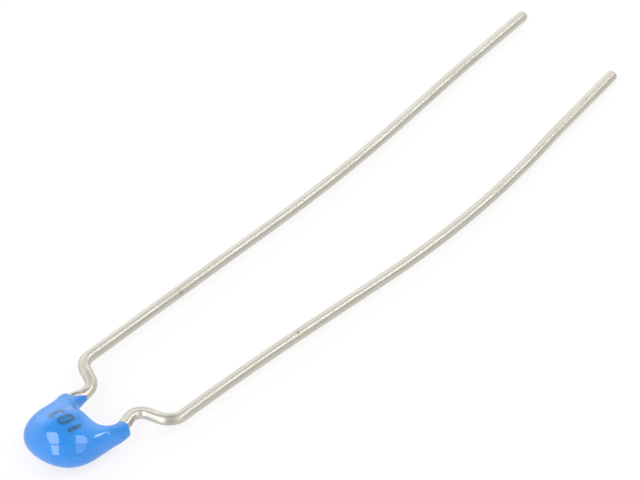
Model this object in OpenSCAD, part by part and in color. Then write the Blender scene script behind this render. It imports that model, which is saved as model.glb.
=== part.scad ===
// Multilayer ceramic capacitor: a ceramic chip between two formed wire leads, dipped in epoxy.
// Drawn flat first: the lead axes lie in the plane z = 0 and run along +Y out of the coating,
// with y = 0 near the coating's upper edge. rest() then lays the part on the ground.

/* [Coating body] */
// Half width of the coating on the left lead's side
body_half_left = 1.60; // [1.60:0.01:1.80]
// Half width of the coating on the right lead's side
body_half_right = 1.64; // [1.63:0.01:1.80]
// Thickness of the coating at its crown
body_thickness = 2.2; // [2.0:0.02:2.6]
// Distance from the seating line down to the rounded bottom
bottom_depth = 3.70; // [3.5:0.05:4.2]
// Distance from the seating line down to the widest place
widest_depth = 1.96; // [1.80:0.02:2.20]
// Sideways offset of the lowest point of the bottom
bottom_offset = -0.42; // [-0.5:0.02:0.5]
// Fullness of the bottom corners, 2 is elliptical
corner_fullness = 2.30; // [2.2:0.02:2.8]
// Fullness of the cross-section, 2 is elliptical
section_fullness = 2.25; // [2.1:0.05:2.6]
// How far the thickest line sits towards the saddle, 1 is central
section_skew = 1.15; // [1.0:0.05:1.3]
// Height of the crown's middle above the lead plane
crown_lift = 0.05; // [-0.05:0.01:0.08]

/* [Coating horns] */
// Depth of the saddle between the two horns
saddle_depth = 1.04; // [0.95:0.01:1.10]
// Fullness of the saddle's curve up to the left horn
left_saddle_fullness = 2.7; // [2.2:0.1:3.0]
// Fullness of the saddle's curve up to the right horn
right_saddle_fullness = 3.2; // [2.4:0.1:4.0]
// How far the left horn climbs its lead
left_cuff_y = -0.36; // [-0.44:0.02:-0.30]
// How far the right horn climbs its lead
right_cuff_y = -0.10; // [-0.14:0.01:-0.06]
// Slant of the left horn's edge across the lead
left_cuff_slant = 49; // [35:1:50]
// Slant of the right horn's edge across the lead
right_cuff_slant = 12; // [4:1:16]
// Half size of the coating where it ends on the left lead
left_cuff_half = 0.31; // [0.300:0.005:0.360]
// Half size of the coating where it ends on the right lead
right_cuff_half = 0.335; // [0.330:0.005:0.360]

/* [Leads] */
// Diameter of the lead wire
wire_d = 0.5; // [0.48:0.01:0.52]
// Distance between the two wires inside the coating
inner_pitch = 2.55; // [2.53:0.01:2.57]
// Straight length at each lead's free end
last_straight = 4.5; // [3:0.5:10]
// Chamfer on the cut ends
tip_chamfer = 0.04; // [0.02:0.01:0.1]

/* [Ceramic chip] */
// Length of the chip over its terminations
chip_length = 1.96; // [1.90:0.02:1.98]
// Width of the chip along the leads
chip_width = 1.25; // [1.0:0.05:1.3]
// Thickness of the chip
chip_thickness = 0.85; // [0.6:0.05:0.9]
// Distance from the seating line down to the chip's middle
chip_depth = 1.95; // [1.9:0.01:2.0]
// Length of each termination's band along the chip
band_length = 0.4; // [0.25:0.05:0.5]
// Thickness of the termination metal
band_thickness = 0.04; // [0.03:0.01:0.06]
// Number of inner electrodes
electrode_count = 12; // [4:2:12]
// Thickness of one electrode
electrode_thickness = 0.012; // [0.01:0.002:0.02]

/* [Hidden] */
LEFT = -1;
RIGHT = 1;
function electrode_name(i) = str("electrode_", i < 10 ? "0" : "", i);

// Coating shape exponents and shares
CORNER_SHARE = 0.6;         // share of a half outline spent on the rounded bottom
TAPER_START = [0.62, 0.62]; // how late the thickness falls towards each horn: left, right
TAPER_END = [0.87, 0.74];   // how bluntly it then falls
SHOULDER = [1.93, 0.58];    // how late each flank turns in to its lead
CUFF_X = [1.17, 1.36];      // where each horn's edge is centred
CUFF_DROP = [0, -0.115];    // how far each horn's end sags under its lead
CUFF_FALL = [-1.1, 0];      // how much lower each horn's edge is on top than underneath
LIP_ROLL = [0.08, 0.08];    // how far each horn's rounded edge reaches past its last rib
LIP_SHRINK = 0.30;          // how much that edge draws in towards the lead
LIP_RINGS = 3;
HALF_STATIONS = 8;          // spans from the bottom to one horn's end
RIBS = 61;
RIB_POINTS = 36;

// Wire forming tables: straight feed, then a bend (outward is positive) on a radius.
// A kink at the coating spreads the leads to 5 mm pitch; the long slow bows are handling.
LEFT_FORM = [
    [1.67, -23.7, 0.74],
    [0.09, 92.4, 0.72],
    [0.55, -67.6, 0.68],
    [10.88, 5.8, 90],
    [4.57, -1.5, 25],
];
RIGHT_FORM = [
    [2.06, -20.2, 1.36],
    [0.14, 90.0, 0.60],
    [0.52, -69.6, 0.86],
    [0.55, 2.65, 150],
    [4.04, -12.8, 50],
    [0.94, 1.5, 30],
];
EMBEDDED_ROWS = 2;       // rows of a table that are at least partly inside the coating
WIRE_START = -2.4;       // where each wire starts beside the chip
WIRE_FACETS = 24;
TIGHT_ARC_FACETS = 72;   // round a full turn of a kink
SLOW_ARC_FACETS = 360;   // round a full turn of a bow

wire_r = wire_d / 2;
chip_x = 0.025;          // the chip sits slightly off the coating's middle
solder_film = 0.03;      // solder round each wire
solder_length = 0.8;     // along the wire
solder_foot = 0.36;      // half height of the solder on the termination
solder_neck = 0.20;      // half height it would have at the wire's axis
electrode_pitch = 0.05;
electrode_gap = 0.25;    // bare ceramic beyond an electrode's free end
electrode_margin = 0.2;  // bare ceramic on each long side

function pick(side, pair) = side == LEFT ? pair[0] : pair[1];
function form(side) = side == LEFT ? LEFT_FORM : RIGHT_FORM;
function wire_x(side) = chip_x + side * inner_pitch / 2;

// ---- Coating: ribs swept from the left horn's end, round the bottom, to the right one's ----

// One rib: [outer x, outer y, inner x, inner y, half height, mid z, fullness, skew, fall].
// t runs from 0 at the bottom to 1 at the horn's end.
function station(side, t) =
    let (half = pick(side, [body_half_left, body_half_right]),
         cuff_x = pick(side, CUFF_X),
         cuff_y = pick(side, [left_cuff_y, right_cuff_y]),
         cuff_half = pick(side, [left_cuff_half, right_cuff_half]),
         lean = cuff_half * tan(pick(side, [left_cuff_slant, right_cuff_slant])),
         saddle_power = 2 / pick(side, [left_saddle_fullness, right_saddle_fullness]),
         turn = min(t / CORNER_SHARE, 1) * 90,
         flank = max((t - CORNER_SHARE) / (1 - CORNER_SHARE), 0),
         keel = side * bottom_offset,
         outer_x = flank > 0
             ? half + (cuff_x + cuff_half - half) * pow(flank, pick(side, SHOULDER))
             : keel + (half - keel) * pow(sin(turn), 2 / corner_fullness),
         outer_y = flank > 0
             ? -widest_depth + (cuff_y - lean + widest_depth) * flank
             : -widest_depth - (bottom_depth - widest_depth) * pow(cos(turn), 2 / corner_fullness),
         inner_x = (cuff_x - cuff_half) * pow(sin(t * 90), saddle_power),
         inner_y = cuff_y + lean - (cuff_y + lean + saddle_depth) * pow(cos(t * 90), saddle_power),
         taper = pow(1 - pow(t, pick(side, TAPER_START)), pick(side, TAPER_END)))
    [side * outer_x, outer_y, side * inner_x, inner_y,
     cuff_half + (body_thickness / 2 - cuff_half) * taper,
     crown_lift * (1 - t) + pick(side, CUFF_DROP) * t,
     2 + (section_fullness - 2) * (1 - t),
     1 + (section_skew - 1) * (1 - t),
     pick(side, CUFF_FALL) * pow(t, 6)];

stations = concat(
    [for (i = [HALF_STATIONS:-1:1]) station(LEFT, i / HALF_STATIONS)],
    [for (i = [0:HALF_STATIONS]) station(RIGHT, i / HALF_STATIONS)]);

// Uniform cubic B-spline through a padded list of stations
last_station = len(stations) - 1;
padded = concat([2 * stations[0] - stations[1]], stations,
                [2 * stations[last_station] - stations[last_station - 1]]);
function blend(i, f) =
    (pow(1 - f, 3) * padded[i]
     + (3 * pow(f, 3) - 6 * pow(f, 2) + 4) * padded[i + 1]
     + (-3 * pow(f, 3) + 3 * pow(f, 2) + 3 * f + 1) * padded[i + 2]
     + pow(f, 3) * padded[i + 3]) / 6;
function rib(k) =
    let (u = k * last_station / (RIBS - 1),
         i = min(floor(u), last_station - 1))
    blend(i, u - i);

function signed_pow(v, p) = sign(v) * pow(abs(v), p);
function rib_points(r) = [
    for (j = [0:RIB_POINTS - 1])
        let (a = j * 360 / RIB_POINTS,
             across = pow((signed_pow(cos(a), 2 / r[6]) + 1) / 2, r[7]),
             up = r[4] * signed_pow(sin(a), 2 / r[6]))
        [r[2] + (r[0] - r[2]) * across,
         r[3] + (r[1] - r[3]) * across + r[8] * up,
         r[5] + up]];

// Rings that roll a horn's edge over towards its lead, from its last rib and the rib before
function middle(ring) = [for (p = ring) 1] * ring / len(ring);
function lips(side, ring, before) =
    let (hub = middle(ring), way = hub - middle(before))
    [for (k = [1:LIP_RINGS])
        let (a = k * 90 / LIP_RINGS,
             advance = way / norm(way) * pick(side, LIP_ROLL) * sin(a))
        [for (p = ring) hub + (p - hub) * (1 - LIP_SHRINK * (1 - cos(a))) + advance]];

ribs = [for (k = [0:RIBS - 1]) rib_points(rib(k))];
left_lips = lips(LEFT, ribs[0], ribs[1]);
right_lips = lips(RIGHT, ribs[RIBS - 1], ribs[RIBS - 2]);
rings = concat([for (k = [LIP_RINGS - 1:-1:0]) left_lips[k]], ribs, right_lips);
coating_points = [for (ring = rings) each ring];
coating_faces = concat(
    [[for (j = [0:RIB_POINTS - 1]) j]],
    [for (k = [0:len(rings) - 2], j = [0:RIB_POINTS - 1])
        let (a = k * RIB_POINTS + j, b = k * RIB_POINTS + (j + 1) % RIB_POINTS)
        each [[a, a + RIB_POINTS, b + RIB_POINTS], [a, b + RIB_POINTS, b]]],
    [[for (j = [RIB_POINTS - 1:-1:0]) (len(rings) - 1) * RIB_POINTS + j]]);

// ---- Leads ----

// Pose [x, y, heading] after each row of a forming table; heading 90 runs along +Y
function after(side, pose, row) =
    let (straight_x = pose[0] + row[0] * cos(pose[2]),
         straight_y = pose[1] + row[0] * sin(pose[2]),
         turn = -side * row[1],
         hub = pose[2] + sign(turn) * 90,
         next = pose[2] + turn)
    [straight_x + row[2] * (cos(hub) - cos(hub + turn)),
     straight_y + row[2] * (sin(hub) - sin(hub + turn)),
     next];
function pose(side, n) =
    n == 0 ? [wire_x(side), WIRE_START, 90] : after(side, pose(side, n - 1), form(side)[n - 1]);
function tip(side) =
    let (p = pose(side, len(form(side))))
    [p[0] + last_straight * cos(p[2]), p[1] + last_straight * sin(p[2]), p[2]];

// A bend that starts at the origin along +Y; a positive turn swings towards -X
module bend(turn, radius) {
    translate([-sign(turn) * radius, 0, 0])
        rotate_extrude(start = turn > 0 ? 0 : 180, angle = turn,
                       $fn = radius > 5 ? SLOW_ARC_FACETS : TIGHT_ARC_FACETS)
            translate([radius, 0])
                circle(r = wire_r, $fn = WIRE_FACETS);
}

// Moves its children from the start of a bend to its end
module past_bend(turn, radius) {
    translate([-sign(turn) * radius, 0, 0])
        rotate([0, 0, turn])
            translate([sign(turn) * radius, 0, 0])
                children();
}

module straight(length, r1 = wire_r, r2 = wire_r) {
    rotate([-90, 0, 0])
        cylinder(h = length, r1 = r1, r2 = r2, $fn = WIRE_FACETS);
}

// Straight free end with a small chamfer where it was cut
module free_end() {
    straight(last_straight - tip_chamfer);
    translate([0, last_straight - tip_chamfer, 0])
        straight(tip_chamfer, wire_r, wire_r - tip_chamfer);
}

// The wire from row n of its table up to row last, each row continuing from the one before
module wire_rows(side, n, last) {
    row = form(side)[n];
    turn = -side * row[1];
    straight(row[0]);
    translate([0, row[0], 0]) {
        bend(turn, row[2]);
        past_bend(turn, row[2])
            if (n < last)
                wire_rows(side, n + 1, last);
            else if (n == len(form(side)) - 1)
                free_end();
    }
}

module formed_wire(side, last_row) {
    translate([wire_x(side), WIRE_START, 0])
        wire_rows(side, 0, last_row);
}

// ---- Resting pose: the belly of the coating and the tip of the left lead touch the ground ----

function height_at(slope, p) = p[2] * cos(slope) - p[1] * sin(slope);
function reach_at(slope, p) = p[1] * cos(slope) + p[2] * sin(slope);
function touching_slope(p) = atan((-wire_r - p[2]) / (tip(LEFT)[1] - tip_chamfer - p[1]));
function lowest(slope) =
    let (low = min([for (p = coating_points) height_at(slope, p)]))
    [for (p = coating_points) if (height_at(slope, p) == low) p][0];
lead_slope = touching_slope(lowest(touching_slope([0, -widest_depth, -body_thickness / 2])));
ground_z = height_at(lead_slope, lowest(lead_slope));
low_y = min([for (p = coating_points) reach_at(lead_slope, p)]);

function bow_points(side) = [
    for (n = [3:len(form(side)) - 1], f = [0:0.1:1])
        let (row = form(side)[n])
        after(side, pose(side, n), [row[0], row[1] * f, row[2]])];
high_y = max([for (side = [LEFT, RIGHT])
    tip(side)[1] * cos(lead_slope) + (wire_r - tip_chamfer) * abs(cos(tip(side)[2]))]);
low_x = tip(LEFT)[0] - wire_r * sin(tip(LEFT)[2]);
high_x = max([for (p = bow_points(RIGHT)) p[0] + wire_r * sin(p[2])]);

module rest() {
    translate([-(low_x + high_x) / 2, -(low_y + high_y) / 2, -ground_z])
        rotate([-lead_slope, 0, 0])
            children();
}

// ---- Chip and solder, still in the flat lead frame ----

module chip_block(shrink = 0) {
    translate([chip_x, -chip_depth, 0])
        cube([chip_length - 2 * shrink, chip_width - 2 * shrink, chip_thickness - 2 * shrink],
             center = true);
}

// Band of the chip that one termination covers
module band_space(side) {
    translate([chip_x + side * (chip_length - band_length) / 2, -chip_depth, 0])
        cube([band_length, 2 * chip_width, 2 * chip_thickness], center = true);
}

module electrode_plate(i) {
    side = i % 2 == 0 ? RIGHT : LEFT;
    body_length = chip_length - 2 * band_thickness;
    translate([chip_x + side * electrode_gap / 2, -chip_depth,
               (i - (electrode_count + 1) / 2) * electrode_pitch])
        cube([body_length - electrode_gap,
              chip_width - 2 * band_thickness - 2 * electrode_margin,
              electrode_thickness], center = true);
}

// Solder seen along the right wire: a film round it and a foot on the chip's end face
module solder_profile() {
    face_x = -(inner_pitch - chip_length) / 2;
    intersection() {
        union() {
            circle(r = wire_r + solder_film, $fn = WIRE_FACETS);
            polygon([[face_x, -solder_foot], [0, -solder_neck],
                     [0, solder_neck], [face_x, solder_foot]]);
        }
        translate([face_x, -1])
            square([1, 2]);
    }
}

module solder_body(side) {
    translate([wire_x(side), -chip_depth, 0])
        rotate([90, 0, side == LEFT ? 180 : 0])
            linear_extrude(solder_length, center = true)
                solder_profile();
}

// ---- Sub-parts ----

module epoxy_coating() {
    color("dodgerblue")
        rest()
            difference() {
                polyhedron(coating_points, coating_faces, convexity = 6);
                chip_block();
                for (side = [LEFT, RIGHT]) {
                    solder_body(side);
                    formed_wire(side, EMBEDDED_ROWS - 1);
                }
            }
}

module lead(side) {
    color([0.78, 0.76, 0.72])
        rest()
            formed_wire(side, len(form(side)) - 1);
}

module solder(side) {
    color([0.70, 0.71, 0.72])
        rest()
            difference() {
                solder_body(side);
                formed_wire(side, 0);
            }
}

module termination(side) {
    color([0.82, 0.82, 0.80])
        rest()
            difference() {
                intersection() {
                    chip_block();
                    band_space(side);
                }
                chip_block(shrink = band_thickness);
            }
}

module ceramic_body() {
    color([0.62, 0.50, 0.38])
        rest()
            difference() {
                chip_block();
                for (side = [LEFT, RIGHT])
                    difference() {
                        band_space(side);
                        chip_block(shrink = band_thickness);
                    }
                for (i = [1:electrode_count])
                    electrode_plate(i);
            }
}

module electrode(i) {
    color([0.55, 0.55, 0.52])
        rest()
            electrode_plate(i);
}

epoxy_coating();
lead(LEFT);  // left_lead
lead(RIGHT);  // right_lead
solder(LEFT);  // left_solder
solder(RIGHT);  // right_solder
termination(LEFT);  // left_termination
termination(RIGHT);  // right_termination
ceramic_body();
for (i = [1:electrode_count])
    electrode(i);
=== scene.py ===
import math

import bmesh
import bpy
from mathutils import Matrix, Vector
from mathutils.bvhtree import BVHTree


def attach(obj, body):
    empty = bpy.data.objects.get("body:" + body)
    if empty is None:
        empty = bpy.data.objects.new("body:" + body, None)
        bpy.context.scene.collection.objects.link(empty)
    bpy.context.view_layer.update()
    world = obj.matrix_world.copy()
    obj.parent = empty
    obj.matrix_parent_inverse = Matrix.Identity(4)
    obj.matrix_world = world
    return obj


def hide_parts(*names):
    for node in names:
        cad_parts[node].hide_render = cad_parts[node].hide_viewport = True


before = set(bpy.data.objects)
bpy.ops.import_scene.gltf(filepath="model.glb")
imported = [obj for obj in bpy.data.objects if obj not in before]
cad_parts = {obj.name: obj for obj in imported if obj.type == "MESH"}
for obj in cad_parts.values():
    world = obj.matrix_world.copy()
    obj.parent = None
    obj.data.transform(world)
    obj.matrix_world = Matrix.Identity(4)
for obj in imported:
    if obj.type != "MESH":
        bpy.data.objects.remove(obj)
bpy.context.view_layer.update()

MM = 0.001
LEFT, RIGHT = 0, 1
SIGN = (-1, 1)

# ---- The flat lead frame of the CAD part, in millimetres, and the way it comes to rest ----

LEAD_SLOPE = math.radians(1.283974)
REST_SHIFT = Vector((0.678247, -13.700700, 0.945037))


def to_row(point):
    """A point of the flat lead frame in mm, as a row-frame point in metres."""
    turned = Matrix.Rotation(-LEAD_SLOPE, 3, "X") @ Vector(point)
    return (turned + REST_SHIFT) * MM


def smoothstep(low, high, value):
    """0 below low, 1 above high, and a smooth rise between them."""
    share = min(max((value - low) / (high - low), 0.0), 1.0)
    return share * share * (3 - 2 * share)


def bump(value, centre, width):
    """1 at the centre, falling off as a bell curve of this width."""
    return math.exp(-(((value - centre) / width) ** 2))


# ---- Meshes ----

def mesh_object(name, points, faces, material, smooth=True):
    """A linked object of these points and faces, with its normals turned outwards."""
    mesh = bpy.data.meshes.new(name)
    mesh.from_pydata([tuple(p) for p in points], [], faces)
    mesh.validate()
    outward = bmesh.new()
    outward.from_mesh(mesh)
    bmesh.ops.recalc_face_normals(outward, faces=outward.faces)
    outward.to_mesh(mesh)
    outward.free()
    if smooth:
        mesh.polygons.foreach_set("use_smooth", [True] * len(mesh.polygons))
    mesh.materials.append(material)
    obj = bpy.data.objects.new(name, mesh)
    bpy.context.scene.collection.objects.link(obj)
    return obj


def add_shares(obj, name, values):
    """Store one number a point on a mesh, for its material to read."""
    layer = obj.data.attributes.new(name=name, type="FLOAT", domain="POINT")
    layer.data.foreach_set("value", values)


def tube_faces(rings, around):
    """Quads between rings of points, with a fan of one polygon at each end."""
    faces = []
    for ring in range(rings - 1):
        for j in range(around):
            a = ring * around + j
            b = ring * around + (j + 1) % around
            faces.append((a, b, b + around, a + around))
    faces.append(tuple(range(around - 1, -1, -1)))
    faces.append(tuple(range((rings - 1) * around, rings * around)))
    return faces


# ---- Node materials ----

class Tree:
    """A node tree with short ways to add and link nodes."""

    def __init__(self, tree):
        self.tree = tree

    def add(self, kind, **settings):
        node = self.tree.nodes.new(kind)
        for key, value in settings.items():
            setattr(node, key, value)
        return node

    def link(self, source, target):
        self.tree.links.new(source, target)

    def spread(self, value, low, high, to_low=0.0, to_high=1.0):
        """Map a value smoothly from one range to another."""
        node = self.add("ShaderNodeMapRange", interpolation_type="SMOOTHSTEP")
        for key, number in zip(("From Min", "From Max", "To Min", "To Max"),
                               (low, high, to_low, to_high)):
            node.inputs[key].default_value = number
        self.link(value, node.inputs["Value"])
        return node.outputs["Result"]

    def math(self, operation, first, second):
        node = self.add("ShaderNodeMath", operation=operation)
        for socket, value in zip(node.inputs, (first, second)):
            if isinstance(value, (int, float)):
                socket.default_value = value
            else:
                self.link(value, socket)
        return node.outputs["Value"]

    def mix_shaders(self, share, first, second):
        node = self.add("ShaderNodeMixShader")
        if isinstance(share, (int, float)):
            node.inputs[0].default_value = share
        else:
            self.link(share, node.inputs[0])
        self.link(first, node.inputs[1])
        self.link(second, node.inputs[2])
        return node.outputs[0]


class Nodes(Tree):
    """A new material's node tree, with the textures that the materials here share."""

    def __init__(self, name):
        self.material = bpy.data.materials.new(name)
        self.material.use_nodes = True
        super().__init__(self.material.node_tree)
        self.shader = self.tree.nodes["Principled BSDF"]
        self.output = self.tree.nodes["Material Output"]
        self.place = self.add("ShaderNodeTexCoord").outputs["Object"]

    def noise(self, scale, detail=3.0, stretch=(1, 1, 1), roughness=0.55):
        mapping = self.add("ShaderNodeMapping")
        mapping.inputs["Scale"].default_value = stretch
        self.link(self.place, mapping.inputs["Vector"])
        noise = self.add("ShaderNodeTexNoise")
        noise.inputs["Scale"].default_value = scale
        noise.inputs["Detail"].default_value = detail
        noise.inputs["Roughness"].default_value = roughness
        self.link(mapping.outputs["Vector"], noise.inputs["Vector"])
        return noise.outputs["Fac"]

    def share(self, name):
        """The number that add_shares stored under this name."""
        return self.add("ShaderNodeAttribute", attribute_name=name).outputs["Fac"]

    def blend(self, share, first, second):
        """Mix two colours; each is a colour or a socket."""
        node = self.add("ShaderNodeMix", data_type="RGBA")
        self.link(share, node.inputs["Factor"])
        for socket, value in ((node.inputs[6], first), (node.inputs[7], second)):
            if isinstance(value, tuple):
                socket.default_value = (*value, 1.0)
            else:
                self.link(value, socket)
        return node.outputs[2]

    def relief(self, height, strength, distance):
        node = self.add("ShaderNodeBump")
        node.inputs["Strength"].default_value = strength
        node.inputs["Distance"].default_value = distance
        self.link(height, node.inputs["Height"])
        self.link(node.outputs["Normal"], self.shader.inputs["Normal"])

    def set(self, **values):
        """Constants of the surface, straight on the shader's sockets."""
        names = {"roughness": "Roughness", "metallic": "Metallic", "ior": "IOR"}
        for key, value in values.items():
            self.shader.inputs[names[key]].default_value = value


def epoxy_material(name, marked=False):
    """Glossy blue dipped epoxy, faintly cloudy, with specks; marked adds the worn ink's colour."""
    m = Nodes(name)
    cloud = m.spread(m.noise(900, 2.0), 0.35, 0.65)
    base = m.blend(cloud, (0.018, 0.222, 0.68), (0.027, 0.246, 0.73))
    speck = m.spread(m.noise(9000, 1.0), 0.70, 0.80, 0.0, 0.35)
    base = m.blend(speck, base, (0.013, 0.145, 0.50))
    if marked:
        worn = m.spread(m.noise(7000, 3.0), 0.25, 0.75, 0.65, 1.05)
        tint = m.spread(m.noise(3000, 1.0), 0.4, 0.6)
        ink = m.blend(tint, (0.030, 0.085, 0.120), (0.035, 0.115, 0.135))
        base = m.blend(m.math("MULTIPLY", m.share("ink"), worn), base, ink)
    m.link(base, m.shader.inputs["Base Color"])
    m.link(m.spread(m.noise(2500, 2.0), 0.3, 0.7, 0.05, 0.11), m.shader.inputs["Roughness"])
    m.set(ior=1.65)
    m.relief(m.noise(700, 2.0), 0.25, 0.00003)
    return m.material


def wire_material():
    """Tin-plated wire: warm grey metal with drawing streaks, dull patches, worn places and painted shade in
    its dents and creases.
    """
    m = Nodes("tinned_wire")
    streak = m.spread(m.noise(4000, 4.0, (1, 0.04, 1)), 0.35, 0.65)
    patch = m.spread(m.noise(700, 3.0, (1, 0.35, 1)), 0.35, 0.7)
    base = m.blend(streak, (0.54, 0.525, 0.475), (0.60, 0.585, 0.535))
    base = m.blend(patch, base, (0.57, 0.545, 0.48))
    # painted shade: the wire darkens in its dents, the pressed kink and the crease where it leaves the
    # coating
    base = m.blend(m.share("painted_shade"), base, (0.16, 0.135, 0.105))
    base = m.blend(m.share("bare"), base, (0.93, 0.78, 0.68))
    m.link(base, m.shader.inputs["Base Color"])
    m.link(m.spread(m.noise(1500, 3.0, (1, 0.3, 1)), 0.3, 0.7, 0.34, 0.44), m.shader.inputs["Roughness"])
    m.set(metallic=1.0)
    m.relief(m.noise(5000, 3.0, (1, 0.08, 1)), 0.2, 0.000008)
    return m.material


def plain_metal(name, low, high, roughness):
    """Metal of an inner piece, with a fine grain."""
    m = Nodes(name)
    m.link(m.blend(m.noise(6000, 3.0), low, high), m.shader.inputs["Base Color"])
    m.set(metallic=1.0, roughness=roughness)
    return m.material


def ceramic_material():
    m = Nodes("fired_ceramic")
    m.link(m.blend(m.noise(5000, 4.0), (0.55, 0.43, 0.31), (0.66, 0.54, 0.41)),
           m.shader.inputs["Base Color"])
    m.set(roughness=0.6)
    return m.material


EPOXY = epoxy_material("epoxy_blue")
WIRE = wire_material()
INK = epoxy_material("marked_epoxy", marked=True)

# ---- Coating: the CAD part's ribs, swept finer and closed with a rounded lip round each lead ----

# Millimetres and degrees, with a pair for the left and the right side
BODY_HALF = (1.60, 1.64)       # middle of the body to its widest point
BODY_THICKNESS = 2.2
BOTTOM_DEPTH = 3.70            # lead frame's origin down to the bottom
WIDEST_DEPTH = 1.96
BOTTOM_OFFSET = -0.42          # lowest point, off to the left
CORNER_FULLNESS = 2.30         # 2 is an ellipse, and more is squarer
SECTION_FULLNESS = 2.25
SECTION_SKEW = 1.15            # over 1, the thickest part sits nearer the saddle
CROWN_LIFT = 0.05
SADDLE_DEPTH = 1.04
SADDLE_FULLNESS = (2.7, 3.2)
CUFF_X = (1.17, 1.36)          # middle of each horn's end
CUFF_Y = (-0.36, -0.10)
CUFF_SLANT = (49, 12)          # how far the horn's end is cut aslant
CUFF_HALF = (0.31, 0.335)
CUFF_DROP = (0.0, -0.115)      # height of each horn's end over the leads' plane
CUFF_FALL = (-1.1, 0.0)        # step along Y for each mm up at the horn's end
CORNER_SHARE = 0.6             # share of the stations that turn the lower corner
TAPER_START = (0.62, 0.62)     # how the thickness falls from the body to a horn
TAPER_END = (0.87, 0.74)
SHOULDER = (1.93, 0.58)        # how the flank runs in to a horn: over 1 is late, under 1 early
LIP_ROLL = (0.08, 0.08)
LIP_SHRINK = 0.42              # the CAD part has 0.30; this draws the edge nearer the wire
HALF_STATIONS = 8
RIBS = 241
RIB_POINTS = 120
LIP_RINGS = 6
# Corrections to the ribs' form: where, which way the skin moves, and how far round that reaches
PUSHES = (
    ((-1.12, -0.62, 0.30), (0.00, -0.23, 0.00), 0.54),     # left horn's edge, on top of the wire
    ((-1.46, -0.80, 0.05), (-0.07, 0.17, 0.03), 0.38),     # left horn's edge, outer side
    ((-1.00, -0.42, -0.10), (0.02, 0.19, 0.01), 0.38),     # left horn's edge, inner side
    ((-1.50, -1.05, 0.25), (-0.06, 0.04, 0.04), 0.30),     # shoulder under that edge
    ((-1.48, -1.75, 0.35), (0.03, 0.00, -0.02), 0.50),     # left flank
    ((0.98, -0.60, 0.10), (0.03, -0.03, -0.03), 0.28),     # between the saddle and the right horn
    ((1.12, -0.03, 0.15), (-0.01, 0.06, 0.02), 0.22),      # right horn's edge, inner side
    ((1.62, -0.45, -0.35), (0.055, 0.00, -0.03), 0.45),    # under the right horn
    ((1.51, -1.07, 0.37), (0.022, 0.003, 0.021), 0.06),    # a nib of epoxy
)


# The numbers that make a rib
OUTER_X, OUTER_Y, INNER_X, INNER_Y, HALF_HEIGHT, MIDDLE_Z, FULLNESS, SKEW, FALL = range(9)


def station(side, t):
    """One rib from the bottom (t = 0) to a horn's end (t = 1), as its nine numbers."""
    sign, half, cuff_half = SIGN[side], BODY_HALF[side], CUFF_HALF[side]
    lean = cuff_half * math.tan(math.radians(CUFF_SLANT[side]))
    power = 2 / SADDLE_FULLNESS[side]
    turn = math.radians(min(t / CORNER_SHARE, 1) * 90)
    flank = max((t - CORNER_SHARE) / (1 - CORNER_SHARE), 0)
    keel = sign * BOTTOM_OFFSET
    if flank > 0:
        outer_x = half + (CUFF_X[side] + cuff_half - half) * flank ** SHOULDER[side]
        outer_y = -WIDEST_DEPTH + (CUFF_Y[side] - lean + WIDEST_DEPTH) * flank
    else:
        outer_x = keel + (half - keel) * math.sin(turn) ** (2 / CORNER_FULLNESS)
        drop = max(math.cos(turn), 0.0) ** (2 / CORNER_FULLNESS)
        outer_y = -WIDEST_DEPTH - (BOTTOM_DEPTH - WIDEST_DEPTH) * drop
    across = math.radians(t * 90)
    inner_x = (CUFF_X[side] - cuff_half) * math.sin(across) ** power
    rise = CUFF_Y[side] + lean
    inner_y = rise - (rise + SADDLE_DEPTH) * max(math.cos(across), 0.0) ** power
    taper = max(1 - t ** TAPER_START[side], 0.0) ** TAPER_END[side]
    return Vector((sign * outer_x, outer_y, sign * inner_x, inner_y,
                   cuff_half + (BODY_THICKNESS / 2 - cuff_half) * taper,
                   CROWN_LIFT * (1 - t) + CUFF_DROP[side] * t,
                   2 + (SECTION_FULLNESS - 2) * (1 - t),
                   1 + (SECTION_SKEW - 1) * (1 - t),
                   CUFF_FALL[side] * t ** 6))


def signed_pow(value, power):
    return math.copysign(abs(value) ** power, value)


def spline_ribs(count):
    """Ribs along a uniform cubic B-spline through the stations."""
    row = [station(LEFT, i / HALF_STATIONS) for i in range(HALF_STATIONS, 0, -1)]
    row += [station(RIGHT, i / HALF_STATIONS) for i in range(HALF_STATIONS + 1)]
    padded = [2 * row[0] - row[1]] + row + [2 * row[-1] - row[-2]]
    ribs = []
    for k in range(count):
        u = k * (len(row) - 1) / (count - 1)
        i = min(int(u), len(row) - 2)
        f = u - i
        weights = ((1 - f) ** 3, 3 * f ** 3 - 6 * f ** 2 + 4,
                   -3 * f ** 3 + 3 * f ** 2 + 3 * f + 1, f ** 3)
        ribs.append(sum((w * p for w, p in zip(weights, padded[i:i + 4])), Vector([0.0] * 9)) / 6)
    return ribs


def rib_ring(rib):
    """Points round one rib: a superellipse skewed towards the saddle."""
    ring = []
    power = 2 / rib[FULLNESS]
    for j in range(RIB_POINTS):
        angle = 2 * math.pi * j / RIB_POINTS
        across = ((signed_pow(math.cos(angle), power) + 1) / 2) ** rib[SKEW]
        up = rib[HALF_HEIGHT] * signed_pow(math.sin(angle), power)
        ring.append(Vector((rib[INNER_X] + (rib[OUTER_X] - rib[INNER_X]) * across,
                            rib[INNER_Y] + (rib[OUTER_Y] - rib[INNER_Y]) * across + rib[FALL] * up,
                            rib[MIDDLE_Z] + up)))
    return ring


def lip_rings(side, ring, neighbour):
    """Rings that roll a horn's edge over towards its lead, from the horn's last rib."""
    centre = sum(ring, Vector()) / len(ring)
    ahead = (centre - sum(neighbour, Vector()) / len(neighbour)).normalized()
    lips = []
    for k in range(1, LIP_RINGS + 1):
        angle = math.radians(90 * k / LIP_RINGS)
        shrink = 1 - LIP_SHRINK * (1 - math.cos(angle))
        reach = ahead * LIP_ROLL[side] * math.sin(angle)
        lips.append([centre + (p - centre) * shrink + reach for p in ring])
    return lips


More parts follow.
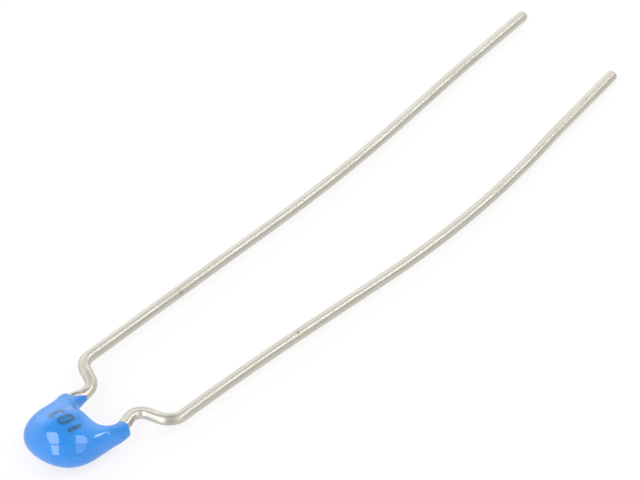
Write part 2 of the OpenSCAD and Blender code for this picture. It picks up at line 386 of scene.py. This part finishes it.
def pushed(point):
    """A point of the coating moved by every correction near it."""
    moved = point.copy()
    for centre, push, reach in PUSHES:
        moved += Vector(push) * bump((point - Vector(centre)).length, 0, reach)
    return moved


def build_coating():
    rings = [rib_ring(rib) for rib in spline_ribs(RIBS)]
    left_lips = lip_rings(LEFT, rings[0], rings[1])
    right_lips = lip_rings(RIGHT, rings[-1], rings[-2])
    rings = left_lips[::-1] + rings + right_lips
    points = [to_row(pushed(p)) for ring in rings for p in ring]
    return mesh_object("coating", points, tube_faces(len(rings), RIB_POINTS), EPOXY)


# ---- Leads: the CAD part's forming tables, with the marks that forming leaves and painted shade in the dents and creases ----

WIRE_R = 0.25
WIRE_X = (-1.25, 1.30)
WIRE_START = -2.4              # inside the coating, beside the chip
LAST_STRAIGHT = 4.5
WIRE_POINTS = 48
TIP_ROUND = (0.20, 0.07)       # length of the rounded cut end
TIP_RINGS = 8
TIP_NARROWING = 0.88           # 1 would close the end to a point
PRESS_WIDER = 0.06             # the press leaves the kink this share wider
PRESS_FLATTER = 0.05
# Straight feed, then a bend in degrees (outward is positive) on a radius
FORM = (
    ((1.67, -23.7, 0.74), (0.09, 92.4, 0.72), (0.55, -67.6, 0.68),
     (10.88, 5.8, 90), (4.57, -1.5, 25)),
    ((2.06, -20.2, 1.36), (0.14, 90.0, 0.60), (0.52, -69.6, 0.86),
     (0.55, 2.65, 150), (4.04, -12.8, 50), (0.94, 1.5, 30)),
)
STEP = 0.07                   # spacing of the rings along a wire


def wire_path(side):
    """[distance, x, y, heading] along one wire's centre line, heading 90 along +Y."""
    x, y, heading, distance = WIRE_X[side], WIRE_START, 90.0, 0.0
    path = [(distance, x, y, heading)]
    rows = FORM[side] + ((LAST_STRAIGHT, 0.0, 1.0),)
    for feed, outward, radius in rows:
        steps = max(int(feed / STEP), 1)
        for _ in range(steps):
            x += feed / steps * math.cos(math.radians(heading))
            y += feed / steps * math.sin(math.radians(heading))
            distance += feed / steps
            path.append((distance, x, y, heading))
        turn = -SIGN[side] * outward
        arc = radius * math.radians(abs(turn))
        steps = max(int(arc / STEP * 1.5), 1)
        for _ in range(steps if arc > 0 else 0):
            heading += turn / steps / 2
            chord = 2 * radius * math.sin(math.radians(abs(turn) / steps / 2))
            x += chord * math.cos(math.radians(heading))
            y += chord * math.sin(math.radians(heading))
            heading += turn / steps / 2
            distance += arc / steps
            path.append((distance, x, y, heading))
    return path


def kink_span(side):
    """Distances along the wire between which the kink was pressed."""
    rows = FORM[side]
    start = rows[0][0]
    length = sum(r * math.radians(abs(a)) for _, a, r in rows[:3]) + rows[1][0] + rows[2][0]
    return start, start + length


# Dents: distance along the wire, angle round it (0 outer right, 90 top), depth, length, spread
DENTS = (
    ((3.0, 95, 0.030, 0.45, 14), (9.77, 50, 0.020, 0.10, 30)),
    ((3.48, 108, 0.030, 0.50, 14), (4.62, 55, 0.022, 0.22, 45), (11.64, 90, 0.018, 0.08, 30),
     (31.65, 80, 0.020, 0.08, 25), (30.88, 0, 0.020, 0.06, 30)),
)
# Grooves along the wire: start, end, angle round it, depth, spread
GROOVES = (
    ((1.6, 2.55, 84, 0.040, 12),),
    ((2.15, 4.2, 100, 0.022, 12), (28.8, 31.6, 72, 0.016, 12)),
)
# Painted shade in the dents, the pressed kink and the crease at the coating's edge (first table), and bare
# copper where the tin is worn (second): distance along the wire, angle round it, strength, length, spread
PAINTED_SHADE = (
    ((1.85, 92, 0.9, 0.20, 11), (2.25, 76, 0.75, 0.22, 11), (2.95, 95, 0.35, 0.30, 12),
     (9.77, 50, 0.4, 0.10, 30)),
    ((4.62, 55, 0.35, 0.17, 70), (2.49, 8, 0.55, 0.14, 30), (3.1, 125, 0.25, 0.30, 14),
     (11.64, 90, 0.45, 0.07, 30), (31.65, 80, 0.25, 0.06, 25)),
)
BARE = (
    ((1.95, 62, 0.9, 0.22, 16), (2.30, 48, 0.9, 0.22, 16)),
    ((3.48, 50, 0.25, 0.16, 22), (4.30, 30, 0.25, 0.16, 22)),
)


def wear(table, distance, angle):
    """Strength of the marks in a table at a place on the wire, at most 1."""
    return min(sum(strength * bump(distance, at, length) * bump(angle, around, spread)
                   for at, around, strength, length, spread in table), 1.0)


def wire_radius(side, distance, angle):
    """Local radius of a wire at a distance along it and an angle round it, in degrees."""
    radius = WIRE_R
    for at, around, depth, length, spread in DENTS[side]:
        radius -= depth * bump(distance, at, length) * bump(angle, around, spread)
    for start, end, around, depth, spread in GROOVES[side]:
        share = smoothstep(start, start + 0.3, distance) * (1 - smoothstep(end - 0.4, end, distance))
        radius -= depth * share * bump(angle, around, spread)
    return radius


def pressing(side, distance):
    """How far the press that made the kink flattened the wire here, from 0 to 1."""
    low, high = kink_span(side)
    begun = smoothstep(low - 0.1, low + 0.3, distance)
    return begun * (1 - smoothstep(high - 0.3, high + 0.2, distance))


def wire_samples(side):
    """The path's rings, with closer ones round the cut end."""
    path = wire_path(side)
    end, x, y, heading = path[-1]
    length = TIP_ROUND[side]
    samples = [s for s in path if s[0] < end - length]
    h = math.radians(heading)
    for k in range(TIP_RINGS + 1):
        distance = end - length * (1 - math.sin(math.radians(90 * k / TIP_RINGS)))
        back = end - distance
        samples.append((distance, x - back * math.cos(h), y - back * math.sin(h), heading))
    return samples


def build_wire(name, side):
    samples = wire_samples(side)
    tip_start = samples[-1][0] - TIP_ROUND[side]
    points, painted_shade, bare = [], [], []
    for distance, x, y, heading in samples:
        pressed = pressing(side, distance)
        wide, tall = 1 + PRESS_WIDER * pressed, 1 - PRESS_FLATTER * pressed
        into_tip = max(distance - tip_start, 0) / TIP_ROUND[side]
        shrink = math.sqrt(max(1 - (into_tip * TIP_NARROWING) ** 2, 0))
        h = math.radians(heading)
        for j in range(WIRE_POINTS):
            angle = 360 * j / WIRE_POINTS
            radius = wire_radius(side, distance, angle) * shrink
            across = radius * math.cos(math.radians(angle)) * wide
            up = radius * math.sin(math.radians(angle)) * tall
            points.append(to_row((x + across * math.sin(h), y - across * math.cos(h), up)))
            near = angle - 360 if angle > 270 else angle
            # painted shade in the dents, the pressed kink and the crease at the coating's edge
            painted_shade.append(wear(PAINTED_SHADE[side], distance, near))
            bare.append(wear(BARE[side], distance, near))
    wire = mesh_object(name, points, tube_faces(len(samples), WIRE_POINTS), WIRE)
    add_shares(wire, "painted_shade", painted_shade)
    add_shares(wire, "bare", bare)
    return wire


# ---- Marking: three digits laid on the coating, read with the leads pointing down ----

# Strokes of each digit in a unit box: how dark, how wide in mm, and the corners. Later strokes lie on top.
ROUND = ((0.5, 0.0), (0.2, 0.10), (0.1, 0.5), (0.2, 0.90), (0.5, 1.0),
         (0.8, 0.90), (0.9, 0.5), (0.8, 0.10), (0.5, 0.0))
DIGITS = {
    "1": ((1.0, 0.21, ((0.30, 0.82), (0.52, 0.98), (0.52, 0.0))),),
    "0": ((0.50, 0.36, ((0.5, 0.1), (0.5, 0.9))), (0.95, 0.18, ROUND)),
    "3": ((0.95, 0.16, ((0.08, 0.88), (0.5, 1.0), (0.86, 0.86), (0.80, 0.62), (0.40, 0.52))),
          (0.95, 0.16, ((0.40, 0.52), (0.85, 0.40), (0.90, 0.12), (0.5, 0.0), (0.08, 0.12)))),
}
CODE = "103"
DIGIT_HEIGHT = 0.57
DIGIT_WIDTH = 0.38
DIGIT_SLANT = 0.30             # sideways step of a stroke for its height
DIGIT_PITCH = 0.515
CODE_START = Vector((1.28, -15.77))     # middle of the first digit, row frame in mm
CODE_TILT = math.radians(186)
INK_LIFT = 0.006               # clears the coating
LAYER_LIFT = 0.001             # added for each stroke, so that later ones lie on top
CAST_FROM = 10                 # height from which points are dropped on the coating
STROKE_SHARES = (-1, -0.6, -0.2, 0.2, 0.6, 1)     # places across a stroke, from edge to edge


def finer(stroke, step=0.03):
    """A stroke's corners with points added along each side."""
    points = [Vector(stroke[0])]
    for a, b in zip(stroke, stroke[1:]):
        a, b = Vector(a), Vector(b)
        count = max(int((b - a).length / step), 1)
        points += [a.lerp(b, (k + 1) / count) for k in range(count)]
    return points


def stroke_rows(place, width, corners):
    """Rows of flat points across one stroke, in the row frame in mm."""
    turn = Matrix.Rotation(CODE_TILT, 2)
    line = []
    for p in finer(corners):
        up = (p.y - 0.5) * DIGIT_HEIGHT
        along = (p.x - 0.5) * DIGIT_WIDTH + DIGIT_SLANT * up + place * DIGIT_PITCH
        line.append(Vector((along, up)))
    rows = []
    for k, point in enumerate(line):
        ahead = line[min(k + 1, len(line) - 1)] - line[max(k - 1, 0)]
        across = Vector((-ahead.y, ahead.x)).normalized() * width / 2
        rows.append([CODE_START + turn @ (point + across * share) for share in STROKE_SHARES])
    return rows


def end_fade(k, count, corners):
    """A stroke's ends are faint, but a closed ring has none."""
    if corners[0] == corners[-1]:
        return 1.0
    return smoothstep(-1, 3, min(k, count - 1 - k))


def build_marking(coating):
    """Strips laid just above the coating, in its own material with the ink's colour where it is dark."""
    tree = BVHTree.FromObject(coating, bpy.context.evaluated_depsgraph_get())
    points, faces, ink = [], [], []
    columns = len(STROKE_SHARES)
    strokes = [(place, *stroke) for place, digit in enumerate(CODE) for stroke in DIGITS[digit]]
    for layer, (place, dark, width, corners) in enumerate(strokes, 1):
        lift = (INK_LIFT + LAYER_LIFT * layer) * MM
        rows = stroke_rows(place, width, corners)
        for k, row in enumerate(rows):
            fade = end_fade(k, len(rows), corners)
            for flat, share in zip(row, STROKE_SHARES):
                above = Vector((flat.x, flat.y, CAST_FROM)) * MM
                hit, outward, _, _ = tree.ray_cast(above, Vector((0, 0, -1)))
                points.append(hit + outward * lift)
                ink.append(dark * fade * (1 - share ** 4))
            if k > 0:
                base = len(points) - 2 * columns
                faces += [(base + j, base + j + 1, base + j + 1 + columns, base + j + columns)
                          for j in range(columns - 1)]
    marking = mesh_object("marking", points, faces, INK)
    add_shares(marking, "ink", ink)
    return marking


# ---- The object ----

coating = build_coating()
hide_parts("epoxy_coating")
left_wire = build_wire("left_wire", LEFT)
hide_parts("left_lead")
right_wire = build_wire("right_wire", RIGHT)
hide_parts("right_lead")
marking = build_marking(coating)
for piece in (coating, left_wire, right_wire, marking):
    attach(piece, "root")

INNER_MATERIALS = {
    "solder": plain_metal("solder_metal", (0.50, 0.51, 0.53), (0.66, 0.67, 0.69), 0.35),
    "termination": plain_metal("termination_metal", (0.62, 0.62, 0.60), (0.78, 0.78, 0.76), 0.45),
    "electrode": plain_metal("electrode_metal", (0.42, 0.41, 0.38), (0.56, 0.55, 0.52), 0.4),
    "ceramic": ceramic_material(),
}
for node_name, node_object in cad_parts.items():
    for word, material in INNER_MATERIALS.items():
        if word in node_name:
            node_object.data.materials.clear()
            node_object.data.materials.append(material)

# ---- Camera ----

CAMERA_AIM = Vector((0.1882, -0.5679, 0.7876)) * MM
CAMERA_DISTANCE = 117.994 * MM
CAMERA_AZIMUTH = math.radians(43.65924)
CAMERA_ELEVATION = math.radians(46.24713)
CAMERA_ROLL = math.radians(1.04346)
SENSOR_WIDTH = 36
LENS = 152.44


def direction(azimuth, elevation):
    """Unit vector from the object towards an azimuth (0 at -Y, 90 at +X) and elevation."""
    return Vector((math.sin(azimuth) * math.cos(elevation),
                   -math.cos(azimuth) * math.cos(elevation), math.sin(elevation)))


def facing(back, roll=0.0):
    """Rotation whose local +Z is back, kept upright and then rolled."""
    right = Vector((0, 0, 1)).cross(back).normalized()
    upright = Matrix((right, back.cross(right), back)).transposed()
    return (upright @ Matrix.Rotation(roll, 3, "Z")).to_4x4()


def add_camera():
    data = bpy.data.cameras.new("camera")
    data.sensor_fit = "HORIZONTAL"
    data.sensor_width = SENSOR_WIDTH
    data.lens = LENS
    data.clip_start = 0.01
    data.clip_end = 5
    camera = bpy.data.objects.new("camera", data)
    back = direction(CAMERA_AZIMUTH, CAMERA_ELEVATION)
    place = Matrix.Translation(CAMERA_AIM + back * CAMERA_DISTANCE)
    camera.matrix_world = place @ facing(back, CAMERA_ROLL)
    bpy.context.scene.collection.objects.link(camera)
    bpy.context.scene.camera = camera


# ---- Light: two tall windows, a sweep and a strip behind the part, and pale surroundings ----

BODY_CENTRE = Vector((0.7, -15.5, 1.2)) * MM
PANE_DISTANCE = 0.6            # metres
# Each lit pane: its corners as seen from the coating (azimuth, elevation), then its radiance
PANES = {
    "left_window_top": (((-21, 64), (29, 85), (23, 61), (4, 45)), 4.4),
    "left_window_bottom": (((5, 41), (24, 57), (27, 12), (12, 0)), 4.1),
    "right_window_top": (((164, 70), (165, 60), (112, 44), (92, 66)), 3.0),
    "right_window_bottom": (((90, 62), (109, 41), (87, 6), (68, 24)), 1.7),
    "back_sweep": (((-100, 2), (-172, 2), (-172, 40), (-100, 30)), 1.5),
    "back_strip": (((142, 40), (166, 40), (166, 48), (142, 48)), 6.5),
}


def pane_material(name, radiance):
    m = Nodes(name)
    light = m.add("ShaderNodeEmission")
    light.inputs["Strength"].default_value = radiance
    m.link(light.outputs[0], m.output.inputs["Surface"])
    return m.material


def add_panes():
    """Lit panes that the gloss reflects; the camera doesn't see them."""
    for name, (corners, radiance) in PANES.items():
        points = [BODY_CENTRE + PANE_DISTANCE * direction(math.radians(a), math.radians(e))
                  for a, e in corners]
        pane = mesh_object(name, points, [(0, 1, 2, 3)], pane_material(name, radiance), smooth=False)
        pane.visible_camera = False


OVERHEAD_DIM = (0.78, 0.90, 1.0, 0.42)     # from this height to that, and the strength at each
SIDE_DIM = (-0.9, 0.9, 1.27, 0.64)         # from the left to the right, and the strength at each


def add_world():
    """Pale all round, brighter on the left, dim overhead, and plain white where the camera sees it."""
    world = bpy.data.worlds.new("world")
    bpy.context.scene.world = world
    world.use_nodes = True
    world.node_tree.nodes.clear()
    w = Tree(world.node_tree)
    split = w.add("ShaderNodeSeparateXYZ")
    w.link(w.add("ShaderNodeTexCoord").outputs["Generated"], split.inputs[0])
    overhead = w.spread(split.outputs["Z"], *OVERHEAD_DIM)
    sideways = w.spread(split.outputs["X"], *SIDE_DIM)
    surroundings = w.add("ShaderNodeBackground")
    surroundings.inputs["Color"].default_value = (1.0, 0.99, 0.97, 1)
    w.link(w.math("MULTIPLY", overhead, sideways), surroundings.inputs["Strength"])
    white = w.add("ShaderNodeBackground")
    white.inputs["Color"].default_value = (1, 1, 1, 1)
    seen = w.add("ShaderNodeLightPath").outputs["Is Camera Ray"]
    shader = w.mix_shaders(seen, surroundings.outputs[0], white.outputs[0])
    w.link(shader, w.add("ShaderNodeOutputWorld").inputs["Surface"])


# ---- Table ----

TABLE_HALF = 2.0               # metres
TABLE_GLOW = 0.75              # share of plain white where the table is looked at; the rest keeps its shadow


def table_material():
    """White table: plain diffuse for the light it returns, brightened where it is looked at."""
    m = Nodes("white_table")
    rays = m.add("ShaderNodeLightPath")
    seen = m.math("MAXIMUM", rays.outputs["Is Camera Ray"], rays.outputs["Is Glossy Ray"])
    seen = m.math("MAXIMUM", seen, rays.outputs["Is Transmission Ray"])
    paper = m.add("ShaderNodeBsdfDiffuse")
    tint = m.blend(m.noise(300, 2.0), (0.86, 0.86, 0.855), (0.88, 0.88, 0.875))
    m.link(tint, paper.inputs["Color"])
    glow = m.add("ShaderNodeEmission")
    glow.inputs["Strength"].default_value = 1.0
    bright = m.mix_shaders(TABLE_GLOW, paper.outputs[0], glow.outputs[0])
    m.link(m.mix_shaders(seen, paper.outputs[0], bright), m.output.inputs["Surface"])
    return m.material


def add_table():
    h = TABLE_HALF
    points = [(-h, -h, 0), (h, -h, 0), (h, h, 0), (-h, h, 0)]
    table = mesh_object("table", points, [(0, 1, 2, 3)], table_material(), smooth=False)


add_camera()
add_panes()
add_world()
add_table()
bpy.context.scene.view_settings.view_transform = "Standard"
